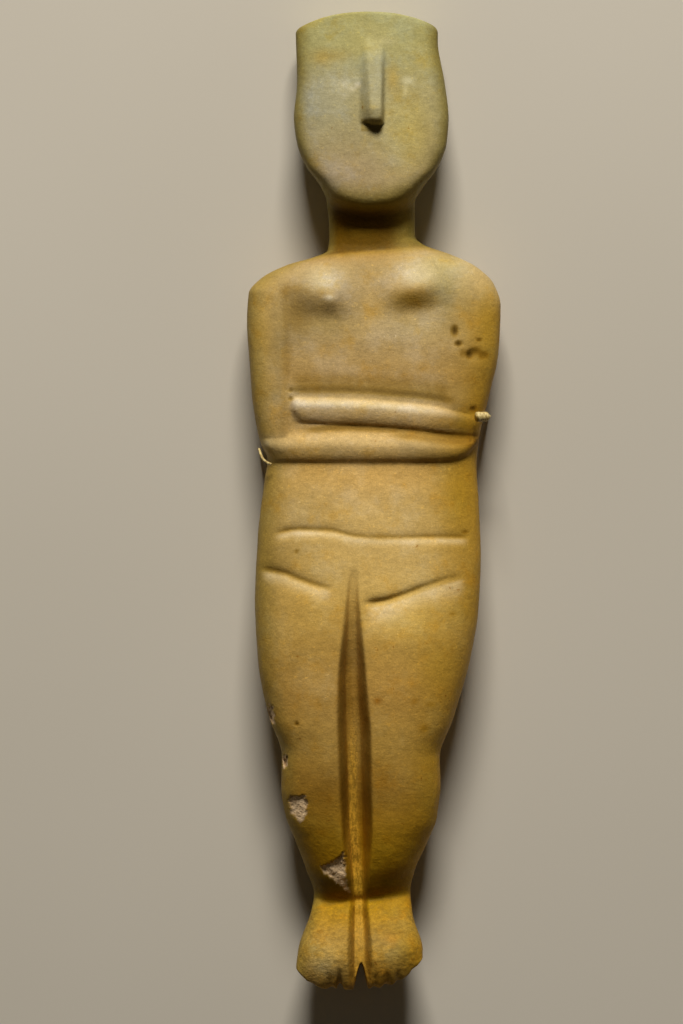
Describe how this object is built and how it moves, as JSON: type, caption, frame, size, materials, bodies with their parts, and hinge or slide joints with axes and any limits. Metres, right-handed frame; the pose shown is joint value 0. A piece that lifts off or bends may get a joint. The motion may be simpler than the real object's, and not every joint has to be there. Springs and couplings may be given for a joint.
{
  "type": "folded-arm marble figurine",
  "caption": "Flat nude carved in marble, arms folded under the breasts, tilted shield-shaped head with a long nose, legs parted by a deep groove, lying on its back with its elbow mounts.",
  "frame": {"origin": "middle of the figure's box, on the surface that its back lies on", "axes": "+Y from the feet to the head, +Z out of the face, +X towards the figure's left arm, which is on the right as one looks at its face"},
  "size_m": [0.1038, 0.4, 0.0426],
  "materials": {
    "marble": "aged marble with a warm honey patina, finely worn, satin",
    "mount_coating": "cream coating over thin metal, satin"
  },
  "bodies": {
    "root": {"figurine": "marble", "elbow_pin": "mount_coating", "elbow_strip": "mount_coating"}
  },
  "joints": []
}
